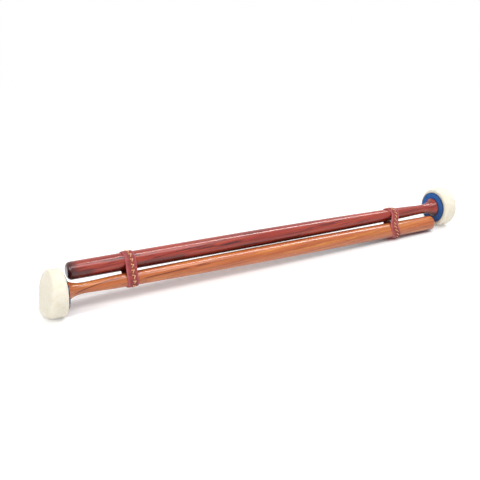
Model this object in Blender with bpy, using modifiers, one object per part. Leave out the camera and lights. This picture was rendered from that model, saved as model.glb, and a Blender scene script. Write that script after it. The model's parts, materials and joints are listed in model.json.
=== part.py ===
"""A pair of felt-headed percussion mallets, laid head to tail and bound by two stitched leather loops.

Units are metres and +Z is up.  The origin is on the ground under the middle of the pair, and +X runs
along the shafts.  The front mallet has its head at -X and rests on that head and on its butt.  The
rear mallet lies parallel to it, above and behind (+Y), with its head at +X on the same ground.
"""

import math

import bmesh
import bpy
from mathutils import Matrix, Vector

COLLECTION_NAME = "felt_mallet_pair"

# Fits
GAP = 0.0003
MERGE_DISTANCE = 0.00001

# Felt head, measured along the mallet from the middle of the head
HEAD_RADIUS = 0.0185
HEAD_THICKNESS = 0.0136
HEAD_FRONT_ROUND = 0.0042
HEAD_BACK_ROUND = 0.0028
REST_FLAT_DEPTH = 0.0005
# Each soft playing face has settled: it stands this far forward at its foot and back at its top
FRONT_FACE_LEAN = 0.0024
REAR_FACE_LEAN = 0.0006
COVER_WALL = 0.0046
COVER_FRONT_WALL = 0.0044
COVER_BACK_WALL = 0.0026
COVER_MOUTH_RADIUS = 0.0092
GATHER_THREAD_RADIUS = 0.0004

# Core inside the cover, and the bore in it for the shaft's spigot
CORE_RADIUS = 0.0105
CORE_CHAMFER = 0.0006
SPIGOT_RADIUS = 0.0038
SPIGOT_LENGTH = 0.0094
SPIGOT_CHAMFER = 0.0008

# Backing disc between the cover and the shaft's flange
DISC_RADIUS = 0.0146
DISC_THICKNESS = 0.0012
DISC_EDGE_ROUND = 0.0004

# Shaft: a flange under the head that flares into a slim neck, a long swelling body and a rounded butt
FRONT_SHAFT_LENGTH = 0.3665
REAR_SHAFT_LENGTH = 0.3695
FLANGE_RADIUS = 0.0088
FLANGE_RIM = 0.0008
FLARE_DECAY = 0.0044
FLARE_REACH = 0.0200
BUTT_ROUND = 0.0036
# Distance from the flange's face, and the radius there without the flare
SHAFT_STATIONS = (
    (0.0085, 0.0040),
    (0.0400, 0.00515),
    (0.0800, 0.00583),
    (0.1200, 0.00637),
    (0.1600, 0.00671),
    (0.2200, 0.00695),
    (0.3000, 0.00695),
    (0.3695, 0.0068),
)

# Lie of the pair
HEAD_SPACING = 0.3910
SHAFT_SEPARATION = 0.0147
BUTT_GROUND_GAP = 0.0008
# Shift that brings the middle of the bounding box over the origin, as the front face leans out further
MIDDLE_SHIFT = 0.0011

# Leather loops: distance of each from the head beside it, along the shafts
LEFT_LOOP_STATION = 0.0615
RIGHT_LOOP_STATION = 0.0643
# How far each loop leans along the shafts, towards +X on the rear one, per unit across them
LEFT_LOOP_LEAN = 0.07
RIGHT_LOOP_LEAN = 0.32
LOOP_WIDTH = 0.0090
LOOP_THICKNESS = 0.0012
LOOP_EDGE_ROUND = 0.0004
SEAM_GROOVE_WIDTH = 0.0050
SEAM_GROOVE_DEPTH = 0.0005
SEAM_SIDE_STEP = 0.0005
STITCH_THREAD_RADIUS = 0.0004
STITCH_HALF_SPREAD = 0.0017
STITCH_PITCH = 0.0046

# Fineness of the curved surfaces
SCREW_STEPS = 36
FLARE_RINGS = 7
BODY_RINGS = 14
WIDE_ARC_STEPS = 5
SMALL_ARC_STEPS = 2
LOOP_ARC_STEPS = 17
POINTS_PER_STITCH = 4
THREAD_SIDES_RESOLUTION = 1

# Worked out from the driving dimensions
HEAD_FRONT = HEAD_THICKNESS / 2
HEAD_BACK = -HEAD_THICKNESS / 2
DISC_TOP = HEAD_BACK - GAP
DISC_BOTTOM = DISC_TOP - DISC_THICKNESS
FLANGE_FACE = DISC_BOTTOM - GAP
FRONT_BUTT_END = FLANGE_FACE - FRONT_SHAFT_LENGTH
CORE_FRONT = HEAD_FRONT - COVER_FRONT_WALL - GAP
CORE_BACK = HEAD_BACK + COVER_BACK_WALL + GAP
CORE_FELT_RADIUS = HEAD_RADIUS - COVER_WALL - GAP
HEAD_CENTRE_HEIGHT = HEAD_RADIUS - REST_FLAT_DEPTH
BUTT_RADIUS = SHAFT_STATIONS[-1][1]
BUTT_RISE = HEAD_CENTRE_HEIGHT - BUTT_RADIUS - BUTT_GROUND_GAP
SLOPE = math.asin(BUTT_RISE / (BUTT_ROUND - FRONT_BUTT_END))
RISE = HEAD_SPACING * math.sin(SLOPE)
SET_BACK = math.sqrt(SHAFT_SEPARATION ** 2 - RISE ** 2)

FRONT_HEAD_CENTRE = Vector((MIDDLE_SHIFT - HEAD_SPACING / 2, -SET_BACK / 2, HEAD_CENTRE_HEIGHT))
REAR_HEAD_CENTRE = Vector((MIDDLE_SHIFT + HEAD_SPACING / 2, SET_BACK / 2, HEAD_CENTRE_HEIGHT))
ALONG_SHAFTS = Vector((math.cos(SLOPE), 0.0, -math.sin(SLOPE)))
HEADS_APART = (REAR_HEAD_CENTRE - FRONT_HEAD_CENTRE).dot(ALONG_SHAFTS)
ACROSS_SHAFTS = (REAR_HEAD_CENTRE - FRONT_HEAD_CENTRE - HEADS_APART * ALONG_SHAFTS).normalized()

# Colours are linear RGB
MATERIALS = {
    "orange_wood": ((0.50, 0.17, 0.058), 0.35),
    "red_wood": ((0.30, 0.042, 0.026), 0.32),
    "white_felt": ((0.80, 0.74, 0.60), 0.95),
    "blue_felt": ((0.018, 0.085, 0.27), 0.92),
    "core_wood": ((0.55, 0.40, 0.24), 0.70),
    "core_felt": ((0.55, 0.52, 0.46), 0.95),
    "cotton_thread": ((0.75, 0.70, 0.58), 0.85),
    "red_leather": ((0.36, 0.062, 0.055), 0.55),
    "gold_thread": ((0.70, 0.36, 0.15), 0.60),
}


def make_materials():
    made = {}
    for name, (colour, roughness) in MATERIALS.items():
        material = bpy.data.materials.new(name)
        material.use_nodes = True
        shader = material.node_tree.nodes["Principled BSDF"]
        shader.inputs["Base Color"].default_value = (*colour, 1.0)
        shader.inputs["Roughness"].default_value = roughness
        shader.inputs["Metallic"].default_value = 0.0
        material.diffuse_color = (*colour, 1.0)
        made[name] = material
    return made


def add_object(name, data, collection, parent, material):
    thing = bpy.data.objects.new(name, data)
    collection.objects.link(thing)
    thing.parent = parent
    if material is not None:
        data.materials.append(material)
    return thing


def add_empty(name, collection, matrix):
    empty = bpy.data.objects.new(name, None)
    collection.objects.link(empty)
    empty.matrix_world = matrix
    return empty


def arc(centre_r, centre_z, radius, start_degrees, end_degrees, steps=WIDE_ARC_STEPS):
    """Points of a profile's arc, where 0 degrees points away from the axis and 90 up."""
    points = []
    for step in range(steps + 1):
        angle = math.radians(start_degrees + (end_degrees - start_degrees) * step / steps)
        points.append((centre_r + radius * math.cos(angle), centre_z + radius * math.sin(angle)))
    return points


def turned(name, profile, closed, collection, parent, material):
    """A solid of revolution about local Z.  The profile runs down its outer side."""
    mesh = bpy.data.meshes.new(name)
    edges = [(index, index + 1) for index in range(len(profile) - 1)]
    if closed:
        edges.append((len(profile) - 1, 0))
    mesh.from_pydata([(radius, 0.0, height) for radius, height in profile], edges, [])
    piece = add_object(name, mesh, collection, parent, material)
    screw = piece.modifiers.new("turn", "SCREW")
    screw.steps = SCREW_STEPS
    screw.render_steps = SCREW_STEPS
    screw.use_merge_vertices = True
    screw.merge_threshold = MERGE_DISTANCE
    screw.use_smooth_shade = True
    return piece


def station_slope(index):
    """Slope of the shaft's outline at a station, level at the neck's narrowest point."""
    if index == 0:
        return 0.0
    low = SHAFT_STATIONS[index - 1]
    high = SHAFT_STATIONS[min(index + 1, len(SHAFT_STATIONS) - 1)]
    return (high[1] - low[1]) / (high[0] - low[0])


def body_radius(distance):
    """Radius at a distance from the flange's face, without the flare: a smooth curve by the stations."""
    last = len(SHAFT_STATIONS) - 2
    index = 0
    distance = max(distance, SHAFT_STATIONS[0][0])
    while index < last and distance > SHAFT_STATIONS[index + 1][0]:
        index += 1
    start, start_radius = SHAFT_STATIONS[index]
    end, end_radius = SHAFT_STATIONS[index + 1]
    span = end - start
    part = (distance - start) / span
    return (
        (2 * part ** 3 - 3 * part ** 2 + 1) * start_radius
        + (part ** 3 - 2 * part ** 2 + part) * span * station_slope(index)
        + (3 * part ** 2 - 2 * part ** 3) * end_radius
        + (part ** 3 - part ** 2) * span * station_slope(index + 1)
    )


def shaft_radius(distance):
    """Radius of the shaft, whose flare dies away from the flange like a trumpet's bell."""
    height = FLANGE_RADIUS - SHAFT_STATIONS[0][1]
    return body_radius(distance) + height * math.exp(-(distance - FLANGE_RIM) / FLARE_DECAY)


def shaft_profile(length):
    spigot_top = FLANGE_FACE + SPIGOT_LENGTH
    butt_end = FLANGE_FACE - length
    profile = [
        (0.0, spigot_top),
        (SPIGOT_RADIUS - SPIGOT_CHAMFER, spigot_top),
        (SPIGOT_RADIUS, spigot_top - SPIGOT_CHAMFER),
        (SPIGOT_RADIUS, FLANGE_FACE),
        (FLANGE_RADIUS, FLANGE_FACE),
    ]
    for ring in range(FLARE_RINGS + 1):
        distance = FLANGE_RIM + FLARE_REACH * (ring / FLARE_RINGS) ** 2
        profile.append((shaft_radius(distance), FLANGE_FACE - distance))
    body_start = FLANGE_RIM + FLARE_REACH
    body_end = length - BUTT_ROUND
    for ring in range(1, BODY_RINGS + 1):
        distance = body_start + (body_end - body_start) * ring / BODY_RINGS
        profile.append((shaft_radius(distance), FLANGE_FACE - distance))
    profile += arc(BUTT_RADIUS - BUTT_ROUND, butt_end + BUTT_ROUND, BUTT_ROUND, -12, -90)
    profile.append((0.0, butt_end))
    return profile


def cover_profile():
    """A cup of felt, closed in front, with its back edge drawn in to a mouth."""
    cavity_radius = CORE_FELT_RADIUS + GAP
    cavity_back = HEAD_BACK + COVER_BACK_WALL
    front_r = HEAD_RADIUS - HEAD_FRONT_ROUND
    back_r = HEAD_RADIUS - HEAD_BACK_ROUND
    profile = [(0.0, HEAD_FRONT)]
    profile += arc(front_r, HEAD_FRONT - HEAD_FRONT_ROUND, HEAD_FRONT_ROUND, 90, 0)
    profile += arc(back_r, HEAD_BACK + HEAD_BACK_ROUND, HEAD_BACK_ROUND, 0, -90)
    profile.append((COVER_MOUTH_RADIUS, HEAD_BACK))
    profile.append((COVER_MOUTH_RADIUS, cavity_back))
    profile.append((cavity_radius, cavity_back))
    profile.append((cavity_radius, HEAD_FRONT - COVER_FRONT_WALL))
    profile.append((0.0, HEAD_FRONT - COVER_FRONT_WALL))
    return profile


def evaluated_mesh(source, name):
    """The mesh that an object's curve or modifiers make.  The object is removed."""
    bpy.context.view_layer.update()
    mesh = bpy.data.meshes.new_from_object(source.evaluated_get(bpy.context.evaluated_depsgraph_get()))
    mesh.name = name
    bpy.data.objects.remove(source)
    return mesh


def settled_cover(name, face_lean, collection, parent, material):
    """The felt cover, with the felt in front of its cavity settled towards the ground."""
    upright = turned(name + "_upright", cover_profile(), False, collection, None, material)
    mesh = evaluated_mesh(upright, name)
    down = parent.matrix_world.to_3x3().inverted() @ Vector((0.0, 0.0, -1.0))
    cavity_front = HEAD_FRONT - COVER_FRONT_WALL
    for vertex in mesh.vertices:
        part = max(0.0, (vertex.co.z - cavity_front) / COVER_FRONT_WALL)
        vertex.co.z += face_lean * part * vertex.co.xy.dot(down.xy) / HEAD_RADIUS
    cover = bpy.data.objects.new(name, mesh)
    collection.objects.link(cover)
    cover.parent = parent
    return cover


def core_profile():
    bore_radius = SPIGOT_RADIUS + GAP
    bore_end = FLANGE_FACE + SPIGOT_LENGTH + GAP
    return [
        (0.0, CORE_FRONT),
        (CORE_RADIUS - CORE_CHAMFER, CORE_FRONT),
        (CORE_RADIUS, CORE_FRONT - CORE_CHAMFER),
        (CORE_RADIUS, CORE_BACK + CORE_CHAMFER),
        (CORE_RADIUS - CORE_CHAMFER, CORE_BACK),
        (bore_radius, CORE_BACK),
        (bore_radius, bore_end),
        (0.0, bore_end),
    ]


def core_felt_profile():
    inner = CORE_RADIUS + GAP
    return [
        (inner, CORE_FRONT),
        (CORE_FELT_RADIUS, CORE_FRONT),
        (CORE_FELT_RADIUS, CORE_BACK),
        (inner, CORE_BACK),
    ]


def disc_profile():
    rounded = DISC_RADIUS - DISC_EDGE_ROUND
    hole = SPIGOT_RADIUS + GAP
    profile = [(hole, DISC_TOP)]
    profile += arc(rounded, DISC_TOP - DISC_EDGE_ROUND, DISC_EDGE_ROUND, 90, 0, SMALL_ARC_STEPS)
    profile += arc(rounded, DISC_BOTTOM + DISC_EDGE_ROUND, DISC_EDGE_ROUND, 0, -90, SMALL_ARC_STEPS)
    profile.append((hole, DISC_BOTTOM))
    return profile


def gather_thread(name, collection, parent, material):
    """The thread that draws the cover's mouth in, just inside the mouth."""
    ring_radius = COVER_MOUTH_RADIUS - GAP - GATHER_THREAD_RADIUS
    height = HEAD_BACK + COVER_BACK_WALL / 2
    curve = bpy.data.curves.new(name, "CURVE")
    curve.dimensions = "3D"
    curve.bevel_depth = GATHER_THREAD_RADIUS
    curve.bevel_resolution = THREAD_SIDES_RESOLUTION
    spline = curve.splines.new("POLY")
    spline.points.add(SCREW_STEPS - 1)
    for index, point in enumerate(spline.points):
        angle = 2 * math.pi * index / SCREW_STEPS
        point.co = (ring_radius * math.cos(angle), ring_radius * math.sin(angle), height, 1.0)
    spline.use_cyclic_u = True
    return add_object(name, curve, collection, parent, material)


def make_mallet(prefix, head_centre, direction, length, face_lean, wood, collection, materials, ground_cutter):
    """One mallet about local Z, turned so that Z points along direction, from butt to head."""
    turn = Vector((0.0, 0.0, 1.0)).rotation_difference(direction).to_matrix().to_4x4()
    axis = add_empty(prefix + "_mallet_axis", collection, Matrix.Translation(head_centre) @ turn)
    turned(prefix + "_shaft", shaft_profile(length), False, collection, axis, materials[wood])
    disc_name = prefix + "_backing_disc"
    turned(disc_name, disc_profile(), True, collection, axis, materials["blue_felt"])
    turned(prefix + "_core", core_profile(), False, collection, axis, materials["core_wood"])
    felt_name = prefix + "_core_felt"
    turned(felt_name, core_felt_profile(), True, collection, axis, materials["core_felt"])
    cover = settled_cover(prefix + "_cover", face_lean, collection, axis, materials["white_felt"])
    flat = cover.modifiers.new("rest_flat", "BOOLEAN")
    flat.operation = "DIFFERENCE"
    flat.solver = "EXACT"
    flat.object = ground_cutter
    gather_thread(prefix + "_cover_thread", collection, axis, materials["cotton_thread"])


def tangent_angle(low_radius, high_radius):
    """Angle, from the line between the two lobes, at which a taut band leaves both of them."""
    return math.acos((low_radius - high_radius) / SHAFT_SEPARATION)


def loop_outline(low_radius, high_radius):
    """A taut band's outline round two circles: one about the origin, one SHAFT_SEPARATION along X."""
    angle = tangent_angle(low_radius, high_radius)
    points = []
    for step in range(LOOP_ARC_STEPS + 1):
        turn = -angle + 2 * angle * step / LOOP_ARC_STEPS
        points.append((SHAFT_SEPARATION + high_radius * math.cos(turn), high_radius * math.sin(turn)))
    for step in range(LOOP_ARC_STEPS + 1):
        turn = angle + 2 * (math.pi - angle) * step / LOOP_ARC_STEPS
        points.append((low_radius * math.cos(turn), low_radius * math.sin(turn)))
    return points


def loop_length(low_radius, high_radius):
    angle = tangent_angle(low_radius, high_radius)
    straight = SHAFT_SEPARATION * math.sin(angle)
    return 2 * angle * high_radius + 2 * (math.pi - angle) * low_radius + 2 * straight


def loop_point(low_radius, high_radius, distance):
    """The point at a distance round the same outline, from where it leaves the high lobe."""
    angle = tangent_angle(low_radius, high_radius)
    straight = SHAFT_SEPARATION * math.sin(angle)
    leave_high = Vector((SHAFT_SEPARATION + high_radius * math.cos(angle), high_radius * math.sin(angle)))
    meet_low = Vector((low_radius * math.cos(angle), low_radius * math.sin(angle)))
    low_arc = 2 * (math.pi - angle) * low_radius
    if distance < straight:
        return leave_high.lerp(meet_low, distance / straight)
    distance -= straight
    if distance < low_arc:
        turn = angle + distance / low_radius
        return Vector((low_radius * math.cos(turn), low_radius * math.sin(turn)))
    distance -= low_arc
    if distance < straight:
        low_end = Vector((meet_low.x, -meet_low.y))
        high_end = Vector((leave_high.x, -leave_high.y))
        return low_end.lerp(high_end, distance / straight)
    turn = -angle + (distance - straight) / high_radius
    return Vector((SHAFT_SEPARATION + high_radius * math.cos(turn), high_radius * math.sin(turn)))


def leaned(lean, across):
    """Shift along the shafts of a leaning loop, at a distance across from the front shaft."""
    return lean * (across - SHAFT_SEPARATION / 2)


def extruded_ring(name, outer, inner, half_width, lean, collection, parent, material):
    """A band between two outlines in local XY, as a mesh centred on its parent."""
    curve = bpy.data.curves.new(name, "CURVE")
    curve.dimensions = "2D"
    curve.fill_mode = "BOTH"
    curve.extrude = half_width
    for outline in (outer, inner):
        spline = curve.splines.new("POLY")
        spline.points.add(len(outline) - 1)
        for point, (across, aside) in zip(spline.points, outline):
            point.co = (across, aside, 0.0, 1.0)
        spline.use_cyclic_u = True
    mesh = evaluated_mesh(add_object(name + "_outline", curve, collection, parent, None), name)
    mesh.materials.clear()
    work = bmesh.new()
    work.from_mesh(mesh)
    bmesh.ops.remove_doubles(work, verts=work.verts, dist=MERGE_DISTANCE)
    for vertex in work.verts:
        vertex.co.z += leaned(lean, vertex.co.x)
    work.to_mesh(mesh)
    work.free()
    return add_object(name, mesh, collection, parent, material)


def make_loop(prefix, station, lean, collection, cutters, materials):
    """A leather band round both shafts, and the thread that closes the seam along its outer face.

    station is measured along the shafts from the front head.  The band clears each shaft where
    that shaft is thickest under it.
    """
    half_width = LOOP_WIDTH / 2
    low_radius = shaft_radius(station + FLANGE_FACE + half_width) + GAP
    high_radius = shaft_radius(HEADS_APART - station + FLANGE_FACE + half_width) + GAP
    frame = Matrix((ACROSS_SHAFTS, ALONG_SHAFTS.cross(ACROSS_SHAFTS), ALONG_SHAFTS)).transposed().to_4x4()
    place = Matrix.Translation(FRONT_HEAD_CENTRE + station * ALONG_SHAFTS) @ frame
    axis = add_empty(prefix + "_loop_axis", collection, place)

    low_outer = low_radius + LOOP_THICKNESS
    high_outer = high_radius + LOOP_THICKNESS
    outer = loop_outline(low_outer, high_outer)
    inner = loop_outline(low_radius, high_radius)
    band_name = prefix + "_loop_leather"
    leather = materials["red_leather"]
    band = extruded_ring(band_name, outer, inner, half_width, lean, collection, axis, leather)
    rounding = band.modifiers.new("soft_edges", "BEVEL")
    rounding.width = LOOP_EDGE_ROUND
    rounding.segments = 2
    rounding.limit_method = "ANGLE"
    rounding.angle_limit = math.radians(50)

    groove_outer = loop_outline(low_outer + SEAM_GROOVE_DEPTH, high_outer + SEAM_GROOVE_DEPTH)
    groove_inner = loop_outline(low_outer - SEAM_GROOVE_DEPTH, high_outer - SEAM_GROOVE_DEPTH)
    groove_name = prefix + "_seam_groove_cutter"
    half_groove = SEAM_GROOVE_WIDTH / 2
    cutter = extruded_ring(
        groove_name, groove_outer, groove_inner, half_groove, lean, cutters, axis, None
    )
    cutter.location.z = SEAM_SIDE_STEP
    cutter.hide_render = True
    cutter.display_type = "WIRE"
    groove = band.modifiers.new("seam_groove", "BOOLEAN")
    groove.operation = "DIFFERENCE"
    groove.solver = "EXACT"
    groove.object = cutter

    lift = GAP + STITCH_THREAD_RADIUS - SEAM_GROOVE_DEPTH
    low_thread = low_outer + lift
    high_thread = high_outer + lift
    around = loop_length(low_thread, high_thread)
    stitches = round(around / STITCH_PITCH)
    count = stitches * POINTS_PER_STITCH
    curve = bpy.data.curves.new(prefix + "_loop_stitching", "CURVE")
    curve.dimensions = "3D"
    curve.bevel_depth = STITCH_THREAD_RADIUS
    curve.bevel_resolution = THREAD_SIDES_RESOLUTION
    spline = curve.splines.new("POLY")
    spline.points.add(count - 1)
    for index, point in enumerate(spline.points):
        spot = loop_point(low_thread, high_thread, around * index / count)
        swing = math.sin(2 * math.pi * index / POINTS_PER_STITCH)
        along = SEAM_SIDE_STEP + leaned(lean, spot.x) + STITCH_HALF_SPREAD * swing
        point.co = (spot.x, spot.y, along, 1.0)
    spline.use_cyclic_u = True
    add_object(prefix + "_loop_stitching", curve, collection, axis, materials["gold_thread"])


def make_ground_cutter(cutters):
    """A slab below the ground that cuts the small flat on which each felt head rests."""
    length = HEAD_SPACING + 4 * HEAD_RADIUS
    depth = 2 * HEAD_RADIUS
    bpy.ops.mesh.primitive_cube_add(size=1.0, location=(0.0, 0.0, -depth / 2))
    slab = bpy.context.object
    slab.name = "ground_cutter"
    for vertex in slab.data.vertices:
        vertex.co = Vector((vertex.co.x * length, vertex.co.y * 2 * depth, vertex.co.z * depth))
    for collection in list(slab.users_collection):
        collection.objects.unlink(slab)
    cutters.objects.link(slab)
    slab.hide_render = True
    slab.display_type = "WIRE"
    return slab


def main():
    for thing in list(bpy.data.objects):
        bpy.data.objects.remove(thing)
    collection = bpy.data.collections.new(COLLECTION_NAME)
    cutters = bpy.data.collections.new("cutters")
    bpy.context.scene.collection.children.link(collection)
    bpy.context.scene.collection.children.link(cutters)
    materials = make_materials()
    slab = make_ground_cutter(cutters)
    make_mallet(
        "front", FRONT_HEAD_CENTRE, -ALONG_SHAFTS, FRONT_SHAFT_LENGTH, FRONT_FACE_LEAN, "orange_wood",
        collection, materials, slab,
    )
    make_mallet(
        "rear", REAR_HEAD_CENTRE, ALONG_SHAFTS, REAR_SHAFT_LENGTH, REAR_FACE_LEAN, "red_wood",
        collection, materials, slab,
    )
    make_loop("left", LEFT_LOOP_STATION, LEFT_LOOP_LEAN, collection, cutters, materials)
    right_station = HEADS_APART - RIGHT_LOOP_STATION
    make_loop("right", right_station, RIGHT_LOOP_LEAN, collection, cutters, materials)


main()
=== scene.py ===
import json
import math
import random

import bpy
from mathutils import Matrix, Vector, noise


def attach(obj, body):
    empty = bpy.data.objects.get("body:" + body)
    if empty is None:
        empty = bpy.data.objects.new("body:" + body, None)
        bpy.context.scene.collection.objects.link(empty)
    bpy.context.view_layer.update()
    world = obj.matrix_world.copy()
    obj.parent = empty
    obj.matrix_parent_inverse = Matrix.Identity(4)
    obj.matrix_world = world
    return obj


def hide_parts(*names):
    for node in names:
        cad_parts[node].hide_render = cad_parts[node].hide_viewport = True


# Looks of a pair of felt-headed mallets, laid head to tail in two stitched leather loops.
# Lengths are metres.  Each mallet's pieces are made about their own Z, which runs from its butt to
# its head with the middle of the head at 0, and each loop's about the front shaft's axis.

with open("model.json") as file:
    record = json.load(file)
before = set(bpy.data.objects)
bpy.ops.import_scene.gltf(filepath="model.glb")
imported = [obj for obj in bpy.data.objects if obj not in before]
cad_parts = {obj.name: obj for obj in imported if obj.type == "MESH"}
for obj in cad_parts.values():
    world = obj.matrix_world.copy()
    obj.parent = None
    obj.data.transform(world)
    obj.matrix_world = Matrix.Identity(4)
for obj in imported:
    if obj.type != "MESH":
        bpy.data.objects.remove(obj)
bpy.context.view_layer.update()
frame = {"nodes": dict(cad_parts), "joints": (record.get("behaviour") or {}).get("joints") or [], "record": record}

MM = 0.001

# Felt head
HEAD_RADIUS = 0.0185
HEAD_THICKNESS = 0.0136
HEAD_FRONT_ROUND = 0.0042
HEAD_BACK_ROUND = 0.0028
# How far each head's face leans forward at its foot and comes forward as a whole, how far its foot
# bulges besides, and how far its upper edge swells back over the backing disc
FRONT_SETTLING = (0.0028, 0.0, 0.0011, 0.0009)
REAR_SETTLING = (-0.0005, 0.0014, 0.0, 0.0)
COVER_WALL = 0.0046
COVER_FRONT_WALL = 0.0044
COVER_BACK_WALL = 0.0026
COVER_MOUTH_RADIUS = 0.0092
GAP = 0.0003
COVER_STEPS = 200
COVER_GRID = 0.0006
PLEATS = 17
PLEAT_DEPTH = 0.00022
LUMP_DEPTH = 0.00016
LUMP_SIZE = 0.0042
ROOM_FOR_NAP = 0.00025
COVER_HAIRS = 5200
COVER_HAIR_SIZE = (0.0015, 0.00034, 0.000022)

# Backing disc
DISC_RADIUS = 0.0146
DISC_THICKNESS = 0.0012
DISC_EDGE_ROUND = 0.0004
DISC_HOLE_RADIUS = 0.0041
DISC_STEPS = 180
DISC_GRID = 0.0005
DISC_LUMP_DEPTH = 0.00006
DISC_LUMP_SIZE = 0.0016
DISC_HAIRS = 1500
DISC_HAIR_SIZE = (0.0009, 0.00020, 0.000016)

# Loose fibres of the felt
HAIR_RINGS = 5
HAIR_TAPER = 0.6
HAIR_ROOT_DEPTH = 0.00008
HAIR_GROUND_GAP = 0.00015

# Shaft
FRONT_SHAFT_LENGTH = 0.3665
REAR_SHAFT_LENGTH = 0.3695
SPIGOT_RADIUS = 0.0038
SPIGOT_LENGTH = 0.0094
SPIGOT_CHAMFER = 0.0008
FLANGE_RADIUS = 0.0088
FLANGE_RIM = 0.0008
FLANGE_EDGE_ROUND = 0.00022
FLARE_DECAY = 0.0044
FLARE_REACH = 0.0200
BUTT_ROUND = 0.0036
# Distance from the flange's face and radius there
SHAFT_STATIONS = (
    (0.0085, 0.0040),
    (0.0400, 0.00515),
    (0.0800, 0.00583),
    (0.1200, 0.00637),
    (0.1600, 0.00671),
    (0.2200, 0.00695),
    (0.3000, 0.00695),
    (0.3695, 0.0068),
)
# How much each body, past the flare, is thicker than the plain solid
FRONT_SHAFT_SWELL = 0.0001
REAR_SHAFT_SWELL = 0.0003
SHAFT_STEPS = 96
SHAFT_RING_STEP = 0.0030
FLARE_RINGS = 26

# Leather loops, and how far apart the shafts' axes are
SHAFT_SEPARATION = 0.0147
LEFT_LOOP_STATION = 0.0615
RIGHT_LOOP_STATION = 0.0643
LEFT_LOOP_LEAN = 0.07
RIGHT_LOOP_LEAN = 0.46
LOOP_LEAN_REACH = 0.0148
LOOP_WIDTH = 0.0090
STRAP_THICKNESS = 0.0009
STRAP_CLEARANCE = 0.0001
SEAM_SIDE_STEP = 0.0005
SEAM_DEPTH = 0.00055
SEAM_HALF_WIDTH = 0.00055
SEAM_COLOUR_WIDTH = 0.00105
SEAM_PULL = 0.00022
SEAM_PULL_WIDTH = 0.00045
# Powers of the curve that rolls the strap's borders down
STRAP_ROLL = 7
STRAP_FULLNESS = 2.6
GRAIN_HEIGHT = 0.00007
COARSE_GRAIN = 0.0017
FINE_GRAIN = 0.0006
EDGE_WAVE = 0.00016
HOLE_DEPTH = 0.00020
HOLE_HALF_WIDTH = 0.0005
HOLE_SHARE = 0.16
STITCH_HALF_SPREAD = 0.0015
LEFT_STITCH_PITCH = 0.0046
RIGHT_STITCH_PITCH = 0.0036
THREAD_RADIUS = 0.00036
PLY_RADIUS = 0.62 * THREAD_RADIUS
PLY_OFFSET = 0.46 * THREAD_RADIUS
PLY_TURNS = 2.2
PLY_SIDES = 8
LEG_STEPS = 14
# Legs of one stitch: side and share of the pitch at which each starts, the same where it ends, and
# how many millimetres its end sinks
HOOKED_LEGS = ((-0.7, 0.00, 0.75, 0.10, 0.10), (0.85, 0.08, -0.10, 0.60, 0.30))
SLANTED_LEGS = ((-1.0, 0.00, 0.85, 0.66, 0.25),)
LOOP_PATH_STEPS = 260
LOOP_OUTER_STEPS = 40
LOOP_INNER_STEPS = 8
# A direction that no thread runs along, from which the sides of a tube are counted
TUBE_REFERENCE = Vector((0.3, 0.5, 0.81))

# Worked out
HEAD_FRONT = HEAD_THICKNESS / 2
HEAD_BACK = -HEAD_THICKNESS / 2
DISC_TOP = HEAD_BACK - GAP
DISC_BOTTOM = DISC_TOP - DISC_THICKNESS
FLANGE_FACE = DISC_BOTTOM - GAP
BUTT_RADIUS = SHAFT_STATIONS[-1][1]


def joint_axis(name):
    joint = next(item for item in frame["joints"] if item["name"] == name)
    return Vector(joint["axis"]).normalized()


def mount_position(name):
    mount = next(item for item in frame["record"]["mounts"] if item["name"] == name)
    return Vector(mount["pos_m"])


ALONG = joint_axis("rear_mallet_slide")
FRONT_HEAD_CENTRE = mount_position("front_head_face") + ALONG * HEAD_FRONT
REAR_HEAD_CENTRE = mount_position("rear_head_face") - ALONG * HEAD_FRONT
HEADS_APART = (REAR_HEAD_CENTRE - FRONT_HEAD_CENTRE).dot(ALONG)
ACROSS = (REAR_HEAD_CENTRE - FRONT_HEAD_CENTRE - HEADS_APART * ALONG).normalized()


def linear(value):
    share = value / 255
    return share / 12.92 if share <= 0.04045 else ((share + 0.055) / 1.055) ** 2.4


def shades(*colours):
    """Colours written as 0 to 255, as the linear values that shaders take."""
    return [(linear(red), linear(green), linear(blue), 1.0) for red, green, blue in colours]


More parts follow.
